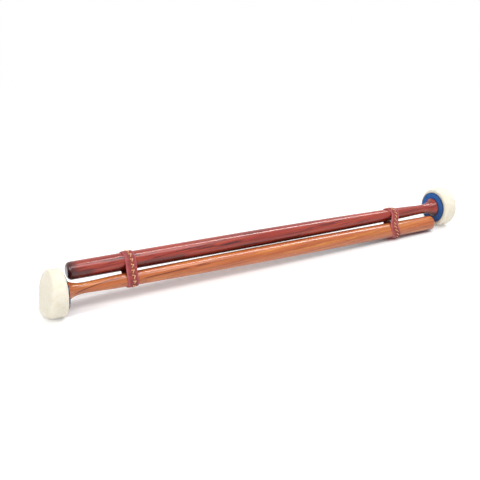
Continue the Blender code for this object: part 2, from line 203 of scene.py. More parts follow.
class Wiring:
    """Short calls that add nodes to a tree."""

    def __init__(self, tree):
        self.nodes = tree.nodes
        self.links = tree.links

    def put(self, socket, value):
        if isinstance(value, bpy.types.NodeSocket):
            self.links.new(value, socket)
        else:
            socket.default_value = value

    def band(self, value, low, high, out_low=0.0, out_high=1.0):
        """value from low to high, spread smoothly over out_low to out_high."""
        node = self.nodes.new("ShaderNodeMapRange")
        node.interpolation_type = "SMOOTHSTEP"
        self.put(node.inputs["Value"], value)
        node.inputs["From Min"].default_value = low
        node.inputs["From Max"].default_value = high
        node.inputs["To Min"].default_value = out_low
        node.inputs["To Max"].default_value = out_high
        return node.outputs["Result"]

    def reckoned(self, operation, first, second):
        node = self.nodes.new("ShaderNodeMath")
        node.operation = operation
        self.put(node.inputs[0], first)
        self.put(node.inputs[1], second)
        return node.outputs["Value"]

    def sum(self, first, second):
        return self.reckoned("ADD", first, second)

    def product(self, first, second):
        return self.reckoned("MULTIPLY", first, second)

    def mixed(self, share, first, second):
        node = self.nodes.new("ShaderNodeMix")
        node.data_type = "RGBA"
        self.put(node.inputs["Factor"], share)
        self.put(node.inputs["A"], first)
        self.put(node.inputs["B"], second)
        return node.outputs["Result"]

    def axis(self, vector, name):
        """One coordinate of a point."""
        node = self.nodes.new("ShaderNodeSeparateXYZ")
        self.links.new(vector, node.inputs["Vector"])
        return node.outputs[name]

    def distance(self, point, centre=(0.0, 0.0, 0.0)):
        node = self.nodes.new("ShaderNodeVectorMath")
        node.operation = "DISTANCE"
        self.links.new(point, node.inputs[0])
        node.inputs[1].default_value = centre
        return node.outputs["Value"]

    def openness(self, reach):
        """How open the space round the point is within that reach, 1 where nothing is near."""
        node = self.nodes.new("ShaderNodeAmbientOcclusion")
        node.inputs["Distance"].default_value = reach
        return node.outputs["AO"]

    def seen_directly(self):
        """1 where the camera sees it, straight or by reflection or glass, and 0 for lighting."""
        rays = self.nodes.new("ShaderNodeLightPath").outputs
        seen = self.reckoned("MAXIMUM", rays["Is Camera Ray"], rays["Is Glossy Ray"])
        return self.reckoned("MAXIMUM", seen, rays["Is Transmission Ray"])


class Finish(Wiring):
    """A material on one shader, with textures counted from the piece's own place."""

    def __init__(self, name, roughness):
        self.material = bpy.data.materials.new(name + "_finish")
        self.material.use_nodes = True
        super().__init__(self.material.node_tree)
        self.shader = self.nodes["Principled BSDF"]
        self.constant("Roughness", roughness)
        self.point = self.nodes.new("ShaderNodeTexCoord").outputs["Object"]

    def constant(self, name, value):
        self.shader.inputs[name].default_value = value

    def stretched(self, size, turn=(0.0, 0.0, 0.0), shift=(0.0, 0.0, 0.0)):
        """The point, counted in cells of that size in metres, after a shift and a turn."""
        node = self.nodes.new("ShaderNodeMapping")
        node.vector_type = "TEXTURE"
        self.links.new(self.point, node.inputs["Vector"])
        node.inputs["Scale"].default_value = size
        node.inputs["Rotation"].default_value = turn
        node.inputs["Location"].default_value = shift
        return node.outputs["Vector"]

    def cloud(self, vector, detail=3.0, roughness=0.55, distortion=0.0):
        node = self.nodes.new("ShaderNodeTexNoise")
        self.links.new(vector, node.inputs["Vector"])
        node.inputs["Scale"].default_value = 1.0
        node.inputs["Detail"].default_value = detail
        node.inputs["Roughness"].default_value = roughness
        node.inputs["Distortion"].default_value = distortion
        return node.outputs["Fac"]

    def cells(self, vector):
        node = self.nodes.new("ShaderNodeTexVoronoi")
        self.links.new(vector, node.inputs["Vector"])
        node.inputs["Scale"].default_value = 1.0
        return node.outputs["Distance"]

    def rings(self, vector, distortion):
        """Growth rings about Z, one to each 0.314 of a cell."""
        node = self.nodes.new("ShaderNodeTexWave")
        node.wave_type = "RINGS"
        node.rings_direction = "Z"
        self.links.new(vector, node.inputs["Vector"])
        node.inputs["Scale"].default_value = 1.0
        node.inputs["Distortion"].default_value = distortion
        node.inputs["Detail"].default_value = 3.0
        node.inputs["Detail Scale"].default_value = 1.2
        node.inputs["Detail Roughness"].default_value = 0.6
        return node.outputs["Fac"]

    def from_axis(self):
        """Distance of the point from its Z axis."""
        flat = self.nodes.new("ShaderNodeVectorMath")
        flat.operation = "MULTIPLY"
        self.links.new(self.point, flat.inputs[0])
        flat.inputs[1].default_value = (1.0, 1.0, 0.0)
        return self.distance(flat.outputs["Vector"])

    def crowded(self, reach):
        """How much nearby surfaces close the point in, 0 in the open and 1 in a tight gap."""
        return self.band(self.openness(reach), 0.32, 0.94, 1.0, 0.0)

    def over_ground(self, high, low):
        """How far the point faces down to near ground: none of it above high, all below low."""
        node = self.nodes.new("ShaderNodeNewGeometry")
        facing = self.band(self.axis(node.outputs["Normal"], "Z"), -0.40, -0.80)
        near = self.band(self.axis(node.outputs["Position"], "Z"), high, low)
        return self.product(facing, near)

    def attribute(self, name):
        node = self.nodes.new("ShaderNodeAttribute")
        node.attribute_name = name
        return node.outputs["Fac"]

    def colour(self, value):
        self.put(self.shader.inputs["Base Color"], value)

    def roughness(self, value):
        self.put(self.shader.inputs["Roughness"], value)

    def relief(self, height, depth):
        """Raises the surface by height, 0 to 1, times depth in metres."""
        node = self.nodes.new("ShaderNodeBump")
        node.inputs["Strength"].default_value = 1.0
        node.inputs["Distance"].default_value = depth
        self.links.new(height, node.inputs["Height"])
        self.links.new(node.outputs["Normal"], self.shader.inputs["Normal"])


def mixed_colours(first, second, share):
    return tuple(a + (b - a) * share for a, b in zip(first, second))


# Sizes of the cells of the wood's figure, by its slanting layers or straight along the shaft
WANDER_CELL = (0.006, 0.009, 0.070)
GOLDEN_CELL = (0.0024, 0.012, 0.060)
FIGURE_CELL = (0.0017, 0.010, 0.085)
FLAME_CELL = (0.0021, 0.009, 0.042)
GRAIN_CELL = (0.00060, 0.0040, 0.045)
FIBRE_CELL = (0.00030, 0.00030, 0.0090)
PORE_CELL = (0.00016, 0.00016, 0.0030)
MILLIMETRE_CELL = (MM, MM, MM)
VEIN_AND_SHADE_FADE = 8.0
# Reach of the painted shade in tight gaps, and heights of the painted shade on the underside
WOOD_SHADE_REACH = 0.008
UNDERSIDE_HEIGHTS = (0.0065, 0.0030)
PORE_DEPTH = 0.00002
BLACK = (0.0, 0.0, 0.0, 1.0)


def flame_strength(finish, along, zone):
    """1 in the part of the shaft with strong flames, whose ends are millimetres from the head."""
    low, high = zone
    into = finish.band(along, -high - 30, -high + 20, 0.25, 1.0)
    return finish.product(into, finish.band(along, -low - 10, -low + 10, 1.0, 0.25))


def vein_or_shade_strength(finish, across, distance, sway, vein_or_shade):
    """How strongly a vein, or a band of painted shade, shows at a place across the layers and at
    a distance from the head.
    """
    height, slope, curve, start, end, half, share = vein_or_shade
    line = finish.product(finish.sum(finish.product(distance, curve), slope), distance)
    line = finish.sum(finish.sum(line, height), sway)
    gap = finish.reckoned("ABSOLUTE", finish.reckoned("SUBTRACT", across, line), 0.0)
    strength = finish.product(finish.band(gap, half, half * 0.25), share)
    fade = min(VEIN_AND_SHADE_FADE, (end - start) / 3)
    strength = finish.product(strength, finish.band(distance, start, start + fade))
    return finish.product(strength, finish.band(distance, end - fade, end, 1.0, 0.0))


def lacquered_wood(name, tones, tilt, turn, shift, flame_zone, veins_and_shade):
    """Hardwood cut from slanting layers, with flames and veins, under a half-gloss lacquer.

    turn is the angle about the shaft of the direction across the layers.  A vein, or a band of
    painted shade laid out the same way, is (height at the head, slope, curve, start, end, half
    thickness, darkness): its height across the layers as a parabola of the distance from the head,
    where along the shaft it shows, all in millimetres, and its share of the deepest tone.  Painted
    shade also darkens the wood in tight gaps by other pieces and on its underside near the ground.
    """
    body, warm, gold, streak, deep = tones
    finish = Finish(name, 0.34)

    def layered(cell, *values):
        return finish.cloud(finish.stretched(cell, (0.0, tilt, turn), shift), *values)

    wander = layered(WANDER_CELL, 2.0, 0.5)
    colour = finish.mixed(finish.band(wander, 0.38, 0.64), body, warm)
    golden = layered(GOLDEN_CELL, 2.0, 0.55, 0.3)
    colour = finish.mixed(finish.band(golden, 0.52, 0.66, 0.0, 0.75), colour, gold)
    figure = layered(FIGURE_CELL, 3.0, 0.6, 0.3)
    colour = finish.mixed(finish.band(figure, 0.50, 0.36, 0.0, 0.55), colour, streak)

    flame = layered(FLAME_CELL, 3.0, 0.58, 0.5)
    along = finish.axis(finish.stretched(MILLIMETRE_CELL), "Z")
    zone = flame_strength(finish, along, flame_zone)
    for low, high, share, tone in ((0.56, 0.64, 0.85, streak), (0.63, 0.72, 0.80, deep)):
        strength = finish.product(finish.band(flame, low, high, 0.0, share), zone)
        colour = finish.mixed(strength, colour, tone)

    across = finish.axis(finish.stretched(MILLIMETRE_CELL, (0.0, 0.0, turn)), "X")
    distance = finish.product(along, -1.0)
    sway = finish.product(finish.sum(wander, -0.5), 2.2)
    for vein_or_shade in veins_and_shade:
        colour = finish.mixed(vein_or_shade_strength(finish, across, distance, sway, vein_or_shade), colour, deep)

    grain = layered(GRAIN_CELL, 3.0, 0.6)
    colour = finish.mixed(finish.band(grain, 0.50, 0.34, 0.0, 0.50), colour, streak)
    fibre = finish.cloud(finish.stretched(FIBRE_CELL, shift=shift), 3.0, 0.6)
    colour = finish.mixed(finish.band(fibre, 0.30, 0.60, 0.28, 0.0), colour, streak)
    pore = finish.cloud(finish.stretched(PORE_CELL, shift=shift), 1.0)
    colour = finish.mixed(finish.band(pore, 0.64, 0.74, 0.0, 0.45), colour, deep)
    # Painted shade: the wood darkens towards its deepest tone where other pieces close it in.
    colour = finish.mixed(finish.product(finish.crowded(WOOD_SHADE_REACH), 0.80), colour, deep)
    # Painted shade: the underside darkens nearly to black where it faces down close to the ground.
    underside_shade = finish.product(finish.over_ground(*UNDERSIDE_HEIGHTS), 0.95)
    finish.colour(finish.mixed(underside_shade, colour, mixed_colours(deep, BLACK, 0.35)))

    finish.roughness(finish.band(wander, 0.30, 0.70, 0.16, 0.24))
    finish.relief(finish.product(finish.band(pore, 0.62, 0.75, 1.0, 0.0), fibre), PORE_DEPTH)
    finish.constant("IOR", 1.5)
    finish.constant("Specular IOR Level", 0.42)
    finish.constant("Coat Weight", 0.35)
    finish.constant("Coat Roughness", 0.12)
    finish.constant("Coat IOR", 1.5)
    return finish.material


FELT_PATCH = 0.0055
FELT_CLUMP = 0.0017
HAIR_STRETCH = 3.5
FELT_DEPTH = 0.00030
FELT_SHADE_REACH = 0.014


def wool_felt(name, tones, grain, sheen):
    """Pressed wool: clouded, matted and without gloss.  A disc has a fourth tone, its edge's."""
    body, pale, shade, *rim = tones
    finish = Finish(name, 0.95)
    patch = finish.cloud(finish.stretched((FELT_PATCH,) * 3), 3.0, 0.6)
    colour = finish.mixed(finish.band(patch, 0.34, 0.70), pale, body)
    clump = finish.cloud(finish.stretched((FELT_CLUMP,) * 3), 4.0, 0.65, 0.8)
    colour = finish.mixed(finish.band(clump, 0.50, 0.74, 0.0, 0.55), colour, shade)
    longer = grain * HAIR_STRETCH
    hair = finish.cloud(finish.stretched((grain, longer, grain), (0.5, 0.4, 0.3)), 3.0, 0.7, 1.5)
    crossed = finish.stretched((longer, grain, grain), (0.2, 0.9, 0.6))
    matted = finish.product(hair, finish.cloud(crossed, 3.0, 0.7, 1.5))
    colour = finish.mixed(finish.band(matted, 0.16, 0.34, 0.30, 0.0), colour, shade)
    if rim:
        start, end = DISC_RADIUS - 1.1 * MM, DISC_RADIUS - 0.2 * MM
        at_rim = finish.band(finish.from_axis(), start, end, 0.0, 0.9)
        colour = finish.mixed(at_rim, colour, rim[0])
        # Painted shade: the disc darkens where other pieces close it in, by the flange and the other butt.
        crevice_shade = finish.product(finish.crowded(FELT_SHADE_REACH), 0.95)
        colour = finish.mixed(crevice_shade, colour, mixed_colours(shade, rim[0], 0.5))
    finish.colour(colour)
    finish.relief(finish.sum(matted, clump), FELT_DEPTH)
    finish.constant("Sheen Weight", sheen)
    finish.constant("Sheen Roughness", 0.6)
    finish.constant("Specular IOR Level", 0.15)
    return finish.material


def wool_hair(name, tones, sheen):
    """The loose fibres that stand off the felt."""
    body, pale = tones
    finish = Finish(name, 0.9)
    patch = finish.cloud(finish.stretched((0.0012,) * 3), 2.0)
    finish.colour(finish.mixed(finish.band(patch, 0.35, 0.65), body, pale))
    finish.constant("Sheen Weight", sheen)
    finish.constant("Specular IOR Level", 0.15)
    return finish.material


def grained_leather(name, tones):
    """Red leather whose cut edges meet, orange-brown, in the seam."""
    body, deep, paler_border, cut_edge = tones
    finish = Finish(name, 0.5)
    patch = finish.cloud(finish.stretched((0.0030,) * 3), 4.0, 0.6, 0.5)
    colour = finish.mixed(finish.band(patch, 0.30, 0.66), deep, body)
    pebble = finish.cells(finish.stretched((0.00036,) * 3))
    colour = finish.mixed(finish.band(pebble, 0.34, 0.62, 0.0, 0.40), colour, deep)
    fine = finish.cloud(finish.stretched((0.00018,) * 3), 3.0, 0.7)
    # Paler towards both borders of the strap.
    border_paling = finish.product(finish.attribute("paler_border"), finish.band(fine, 0.35, 0.65, 0.55, 1.0))
    colour = finish.mixed(border_paling, colour, paler_border)
    seam = finish.attribute("seam")
    cut = finish.mixed(finish.band(fine, 0.35, 0.70), cut_edge, mixed_colours(cut_edge, deep, 0.6))
    finish.colour(finish.mixed(seam, colour, cut))
    duller = finish.product(seam, 0.3)
    finish.roughness(finish.sum(finish.band(patch, 0.3, 0.7, 0.42, 0.56), duller))
    finish.relief(finish.sum(finish.band(pebble, 0.20, 0.62, 1.0, 0.0), fine), 0.00007)
    return finish.material


def waxed_thread(name, tones):
    body, pale, shade = tones
    finish = Finish(name, 0.5)
    strand = finish.cloud(finish.stretched((0.00012,) * 3), 3.0, 0.7)
    colour = finish.mixed(finish.band(strand, 0.30, 0.62), shade, body)
    patch = finish.cloud(finish.stretched((0.0011,) * 3), 2.0)
    finish.colour(finish.mixed(finish.band(patch, 0.42, 0.68, 0.0, 0.7), colour, pale))
    finish.relief(strand, 0.00004)
    finish.constant("Sheen Weight", 0.15)
    return finish.material


def bare_wood(name, tones):
    """Unfinished pale wood of the hidden cores."""
    body, dark = tones
    finish = Finish(name, 0.72)
    growth = finish.rings(finish.stretched((0.004, 0.010, 0.004), shift=(0.18, 0.01, 0.03)), 1.2)
    colour = finish.mixed(finish.band(growth, 0.4, 1.0, 0.0, 0.7), body, dark)
    fibre = finish.cloud(finish.stretched((0.0030, 0.0003, 0.0003)), 3.0, 0.6)
    finish.colour(finish.mixed(finish.band(fibre, 0.35, 0.65, 0.35, 0.0), colour, dark))
    finish.relief(fibre, 0.00008)
    return finish.material


FINISHES = {
    "orange_wood": lacquered_wood(
        "orange_wood",
        shades((202, 112, 52), (194, 104, 50), (218, 140, 60), (156, 70, 30), (94, 38, 20)),
        -0.05, math.radians(30.3), (0.011, 0.004, 0.020), (20, 140),
        (
            (-9.2, 0.455, -0.00471, 12, 56, 0.75, 0.9),
            (-3.6, 0.032, 0.0, 66, 113, 0.75, 0.85),
            (-3.4, 0.030, 0.0, 112, 131, 0.60, 0.8),
        ),
    ),
    "red_wood": lacquered_wood(
        "red_wood",
        shades((160, 44, 28), (174, 56, 34), (188, 72, 42), (104, 24, 20), (56, 12, 14)),
        0.05, math.radians(149.7), (0.031, -0.012, 0.060), (0, 380),
        (
            # Painted shade: the butt end, darkened nearly to the deepest tone
            (0.0, 0.0, 0.0, 368, 396, 16.0, 0.97),
            (-3.6, 0.0, 0.0, 355, 380, 3.4, 0.8),
            (-4.2, 0.0, 0.0, 278, 326, 2.6, 0.7),
            (24.7, -0.085, 0.0, 272, 297, 0.70, 0.85),
            (-3.2, 0.011, 0.0, 226, 252, 0.70, 0.8),
            # Painted shade: the underside of the flare, next to the head
            (-7.6, 0.0, 0.0, 2, 36, 3.8, 0.9),
        ),
    ),
    "white_felt": wool_felt(
        "white_felt", shades((250, 242, 222), (254, 249, 236), (232, 220, 190)), 0.00035, 0.25
    ),
    "blue_felt": wool_felt(
        "blue_felt",
        shades((40, 100, 180), (52, 120, 200), (26, 66, 130), (44, 66, 88)),
        0.00022, 0.12,
    ),
    "core_felt": wool_felt(
        "core_felt", shades((196, 191, 180), (208, 204, 194), (172, 166, 154)), 0.0003, 0.1
    ),
    "white_hair": wool_hair("white_hair", shades((248, 240, 220), (254, 250, 240)), 0.3),
    "blue_hair": wool_hair("blue_hair", shades((38, 94, 168), (66, 122, 190)), 0.2),
    "red_leather": grained_leather(
        "red_leather", shades((166, 62, 62), (118, 38, 40), (204, 100, 104), (168, 86, 52))
    ),
    "gold_thread": waxed_thread(
        "gold_thread", shades((246, 186, 136), (252, 216, 178), (206, 136, 92))
    ),
    "cotton_thread": waxed_thread(
        "cotton_thread", shades((224, 218, 202), (238, 234, 222), (186, 176, 154))
    ),
    "core_wood": bare_wood("core_wood", shades((205, 178, 140), (168, 132, 92))),
}


def placed(name, data, place):
    """An object in the scene, made of a mesh, a light or a camera."""
    thing = bpy.data.objects.new(name, data)
    bpy.context.scene.collection.objects.link(thing)
    thing.matrix_world = place
    return thing


def mesh_piece(name, points, faces, place, finish):
    mesh = bpy.data.meshes.new(name)
    mesh.from_pydata(points, [], faces)
    mesh.materials.append(FINISHES[finish])
    mesh.shade_smooth()
    return placed(name, mesh, place)


def arc(centre_r, centre_z, radius, start_degrees, end_degrees, steps):
    """Points of a profile's arc, where 0 degrees points away from the axis and 90 up."""
    points = []
    for step in range(steps + 1):
        angle = math.radians(start_degrees + (end_degrees - start_degrees) * step / steps)
        points.append((centre_r + radius * math.cos(angle), centre_z + radius * math.sin(angle)))
    return points


def straight(start, end, spacing):
    """Points from start towards end, the end itself left out."""
    count = max(1, round(math.dist(start, end) / spacing))
    return [
        tuple(low + (high - low) * step / count for low, high in zip(start, end))
        for step in range(count)
    ]


def lathe(profile, closed, steps):
    """Points and faces of a profile turned about Z.  It runs down its outer side.

    A profile that isn't closed starts and ends on the axis, where its faces meet in one point.
    """
    points = []
    rows = []
    for radius, height in profile:
        if radius == 0.0:
            rows.append([len(points)])
            points.append((0.0, 0.0, height))
            continue
        rows.append(list(range(len(points), len(points) + steps)))
        for step in range(steps):
            angle = 2 * math.pi * step / steps
            points.append((radius * math.cos(angle), radius * math.sin(angle), height))
    pairs = list(zip(rows, rows[1:]))
    if closed:
        pairs.append((rows[-1], rows[0]))
    faces = []
    for upper, lower in pairs:
        for step in range(steps):
            after = (step + 1) % steps
            if len(upper) == 1:
                faces.append((upper[0], lower[step], lower[after]))
            elif len(lower) == 1:
                faces.append((upper[step], lower[0], upper[after]))
            else:
                faces.append((upper[step], lower[step], lower[after], upper[after]))
    return points, faces


def station_slope(index):
    if index == 0:
        return 0.0
    low = SHAFT_STATIONS[index - 1]
    high = SHAFT_STATIONS[min(index + 1, len(SHAFT_STATIONS) - 1)]
    return (high[1] - low[1]) / (high[0] - low[0])


def body_radius(distance):
    """Radius at a distance from the flange's face, without the flare: a curve by the stations."""
    last = len(SHAFT_STATIONS) - 2
    index = 0
    distance = max(distance, SHAFT_STATIONS[0][0])
    while index < last and distance > SHAFT_STATIONS[index + 1][0]:
        index += 1
    start, start_radius = SHAFT_STATIONS[index]
    end, end_radius = SHAFT_STATIONS[index + 1]
    span = end - start
    part = (distance - start) / span
    return (
        (2 * part ** 3 - 3 * part ** 2 + 1) * start_radius
        + (part ** 3 - 2 * part ** 2 + part) * span * station_slope(index)
        + (3 * part ** 2 - 2 * part ** 3) * end_radius
        + (part ** 3 - part ** 2) * span * station_slope(index + 1)
    )


def shaft_radius(distance):
    """Radius of the shaft, whose flare dies away from the flange like a trumpet's bell."""
    height = FLANGE_RADIUS - SHAFT_STATIONS[0][1]
    return body_radius(distance) + height * math.exp(-(distance - FLANGE_RIM) / FLARE_DECAY)


def make_shaft(prefix, place, length, swell, wood):
    """Turned shaft with softened edges on its flange and its spigot in the core."""
    spigot_top = FLANGE_FACE + SPIGOT_LENGTH
    butt_end = FLANGE_FACE - length
    soft = FLANGE_EDGE_ROUND
    profile = [
        (0.0, spigot_top),
        (SPIGOT_RADIUS - SPIGOT_CHAMFER, spigot_top),
        (SPIGOT_RADIUS, spigot_top - SPIGOT_CHAMFER),
        (SPIGOT_RADIUS, FLANGE_FACE),
    ]
    profile += arc(FLANGE_RADIUS - soft, FLANGE_FACE - soft, soft, 90, 0, 4)
    profile += arc(FLANGE_RADIUS - soft, FLANGE_FACE - FLANGE_RIM + soft, soft, 0, -40, 4)
    for ring in range(FLARE_RINGS + 1):
        share = ring / FLARE_RINGS
        distance = FLANGE_RIM + FLARE_REACH * share ** 2
        profile.append((shaft_radius(distance) + swell * share, FLANGE_FACE - distance))
    start = FLANGE_RIM + FLARE_REACH
    end = length - BUTT_ROUND
    count = round((end - start) / SHAFT_RING_STEP)
    for ring in range(1, count + 1):
        distance = start + (end - start) * ring / count
        profile.append((shaft_radius(distance) + swell, FLANGE_FACE - distance))
    profile += arc(BUTT_RADIUS + swell - BUTT_ROUND, butt_end + BUTT_ROUND, BUTT_ROUND, -6, -90, 14)
    profile.append((0.0, butt_end))
    points, faces = lathe(profile, False, SHAFT_STEPS)
    piece = mesh_piece(prefix + "_shaft_wood", points, faces, place, wood)
    piece.data.set_sharp_from_angle(angle=math.radians(50))
    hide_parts(prefix + "_shaft")
    return piece


def soften(piece, depth, size, seed, drawn_in, outer_only):
    """Pushes the felt in and out along its normals, in lumps, and flattens it at the ground.

    drawn_in is how far its upper side lies under the plain form, to leave room for the nap.
    """
    mesh = piece.data
    offset = Vector((seed * 3.1, seed * 1.7, seed * 2.3))
    normals = [vertex.normal.copy() for vertex in mesh.vertices]
    to_world = piece.matrix_world
    to_local = to_world.inverted()
    for vertex, normal in zip(mesh.vertices, normals):
        spot = vertex.co.copy()
        if outer_only(spot):
            lump = noise.noise(spot / size + offset)
            lump += 0.45 * noise.noise(spot / (size * 0.3) + offset)
            upward = (to_world.to_3x3() @ normal).z
            spot += normal * (lump * depth - drawn_in * max(0.0, min(1.0, 0.5 + upward)))
        in_world = to_world @ spot
        if in_world.z < 0.0:
            in_world.z = 0.0
            spot = to_local @ in_world
        vertex.co = spot
    mesh.update()


def nap(name, piece, finish, count, size, seed, allowed):
    """Loose fibres over a felt piece: thin bent strands that start in the felt and lie close to it.

    size is a fibre's usual length, how high it lifts and its thickness.
    """
    draw = random.Random(seed)
    length, lift, thickness = size
    mesh = piece.data
    to_world = piece.matrix_world
    usable = [face for face in mesh.polygons if allowed(face.center)]
    chosen = draw.choices(usable, weights=[face.area for face in usable], k=count)
    points = []
    faces = []
    for face in chosen:
        normal = face.normal
        side = normal.orthogonal().normalized()
        side.rotate(Matrix.Rotation(draw.uniform(0, 2 * math.pi), 3, normal))
        cross = normal.cross(side)
        span = length * draw.uniform(0.5, 1.3)
        curl = draw.uniform(-0.6, 0.6)
        rise = lift * draw.uniform(0.25, 1.0)
        tail = lift * draw.uniform(-0.2, 0.9) ** 3
        start = face.center + cross * draw.uniform(-0.3, 0.3) * MM - side * span * 0.5
        path = []
        for ring in range(HAIR_RINGS):
            share = ring / (HAIR_RINGS - 1)
            height = rise * math.sin(math.pi * share) + tail * share - HAIR_ROOT_DEPTH
            bend = cross * span * curl * share ** 2
            path.append(start + side * span * share + bend + normal * height)
        if min((to_world @ spot).z for spot in path) < HAIR_GROUND_GAP:
            continue
        first = len(points)
        for ring, spot in enumerate(path):
            width = thickness * (1.0 - HAIR_TAPER * ring / (HAIR_RINGS - 1))
            for corner in range(3):
                angle = 2 * math.pi * corner / 3
                points.append(spot + (normal * math.cos(angle) + cross * math.sin(angle)) * width)
        for ring in range(HAIR_RINGS - 1):
            for corner in range(3):
                low = first + ring * 3 + corner
                low_next = first + ring * 3 + (corner + 1) % 3
                faces.append((low, low_next, low_next + 3, low + 3))
        faces.append((first + 2, first + 1, first))
        end = first + (HAIR_RINGS - 1) * 3
        faces.append((end, end + 1, end + 2))
    return mesh_piece(name, points, faces, piece.matrix_world.copy(), finish)


def make_cover(prefix, place, settling, seed):
    """The felt head: rounded edges, drawn in behind with faint gathers, flat where it rests."""
    front_r = HEAD_RADIUS - HEAD_FRONT_ROUND
    back_r = HEAD_RADIUS - HEAD_BACK_ROUND
    side_start = HEAD_FRONT - HEAD_FRONT_ROUND
    side_end = HEAD_BACK + HEAD_BACK_ROUND
    cavity_radius = HEAD_RADIUS - COVER_WALL
    cavity_back = HEAD_BACK + COVER_BACK_WALL
    cavity_front = HEAD_FRONT - COVER_FRONT_WALL
    profile = straight((0.0, HEAD_FRONT), (front_r, HEAD_FRONT), COVER_GRID)
    profile += arc(front_r, side_start, HEAD_FRONT_ROUND, 90, 0, 12)
    profile += straight((HEAD_RADIUS, side_start), (HEAD_RADIUS, side_end), COVER_GRID)[1:]
    profile += arc(back_r, side_end, HEAD_BACK_ROUND, 0, -90, 8)
    profile += straight((back_r, HEAD_BACK), (COVER_MOUTH_RADIUS, HEAD_BACK), COVER_GRID)[1:]
    profile.append((COVER_MOUTH_RADIUS, HEAD_BACK))
    profile.append((COVER_MOUTH_RADIUS, cavity_back))
    profile.append((cavity_radius, cavity_back))
    profile.append((cavity_radius, cavity_front))
    profile.append((0.0, cavity_front))
    points, faces = lathe(profile, False, COVER_STEPS)
    piece = mesh_piece(prefix + "_head_felt", points, faces, place, "white_felt")

    def outer(spot):
        radius = math.hypot(spot.x, spot.y)
        if radius < 0.5 * MM:
            return False
        between = cavity_back - 0.1 * MM < spot.z < HEAD_FRONT - 1.5 * MM
        inside = radius < cavity_radius + 0.5 * MM and between
        mouth = radius < COVER_MOUTH_RADIUS + 0.2 * MM and spot.z < 0
        return not inside and not mouth

    down = place.to_3x3().inverted() @ Vector((0.0, 0.0, -1.0))
    lean, forward, foot, swell = settling
    for vertex in piece.data.vertices:
        radius = math.hypot(vertex.co.x, vertex.co.y)
        lowness = vertex.co.xy.dot(down.xy) / HEAD_RADIUS
        settled = max(0.0, (vertex.co.z - cavity_front) / COVER_FRONT_WALL)
        vertex.co.z += (lean * lowness + forward + foot * max(0.0, lowness) ** 2) * settled
        behind = max(0.0, min(1.0, (side_end + 1.0 * MM - vertex.co.z) / (2.5 * MM)))
        past_disc = max(0.0, min(1.0, (radius - DISC_RADIUS - 0.2 * MM) / (1.6 * MM)))
        vertex.co.z -= swell * max(0.0, -lowness) * behind * past_disc
        if vertex.co.z < HEAD_BACK + 1.4 * MM and radius > COVER_MOUTH_RADIUS + 0.2 * MM:
            angle = math.atan2(vertex.co.y, vertex.co.x)
            fade = max(0.0, min(1.0, (HEAD_RADIUS - 0.8 * MM - radius) / (4 * MM)))
            crease = abs(math.sin(angle * PLEATS / 2 + 0.7 * math.sin(angle * 3 + seed)))
            vertex.co.z += PLEAT_DEPTH * fade * (1 - crease) ** 2
    piece.data.update()
    soften(piece, LUMP_DEPTH, LUMP_SIZE, seed, ROOM_FOR_NAP, outer)
    piece.data.set_sharp_from_angle(angle=math.radians(60))
    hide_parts(prefix + "_cover")

    def haired(spot):
        behind_disc = spot.z < HEAD_BACK + 0.3 * MM and math.hypot(spot.x, spot.y) < DISC_RADIUS
        return outer(spot) and not behind_disc

    name = prefix + "_head_nap"
    hairs = nap(name, piece, "white_hair", COVER_HAIRS, COVER_HAIR_SIZE, seed, haired)
    return [piece, hairs]


def make_disc(prefix, place, seed):
    """The blue felt backing disc, punched from sheet, so its rim is a little rough."""
    rounded = DISC_RADIUS - DISC_EDGE_ROUND
    profile = straight((DISC_HOLE_RADIUS, DISC_TOP), (rounded, DISC_TOP), DISC_GRID)
    profile += arc(rounded, DISC_TOP - DISC_EDGE_ROUND, DISC_EDGE_ROUND, 90, 0, 4)
    profile += arc(rounded, DISC_BOTTOM + DISC_EDGE_ROUND, DISC_EDGE_ROUND, 0, -90, 4)
    profile += straight((rounded, DISC_BOTTOM), (DISC_HOLE_RADIUS, DISC_BOTTOM), DISC_GRID)[1:]
    profile.append((DISC_HOLE_RADIUS, DISC_BOTTOM))
    points, faces = lathe(profile, True, DISC_STEPS)
    piece = mesh_piece(prefix + "_backing_felt", points, faces, place, "blue_felt")

    def outer(spot):
        radius = math.hypot(spot.x, spot.y)
        return radius > FLANGE_RADIUS + 0.4 * MM and spot.z < DISC_TOP - 0.05 * MM

    soften(piece, DISC_LUMP_DEPTH, DISC_LUMP_SIZE, seed, 0.0, outer)
    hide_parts(prefix + "_backing_disc")
    name = prefix + "_backing_nap"
    hairs = nap(name, piece, "blue_hair", DISC_HAIRS, DISC_HAIR_SIZE, seed, outer)
    return [piece, hairs]


def mallet_place(head_centre, direction):
    turn = Vector((0.0, 0.0, 1.0)).rotation_difference(direction).to_matrix().to_4x4()
    return Matrix.Translation(head_centre) @ turn


def make_mallet(prefix, head_centre, direction, length, swell, settling, wood, seed):
    place = mallet_place(head_centre, direction)
    made = [make_shaft(prefix, place, length, swell, wood)]
    made += make_cover(prefix, place, settling, seed)
    made += make_disc(prefix, place, seed + 5)
    for piece in made:
        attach(piece, prefix + "_mallet")


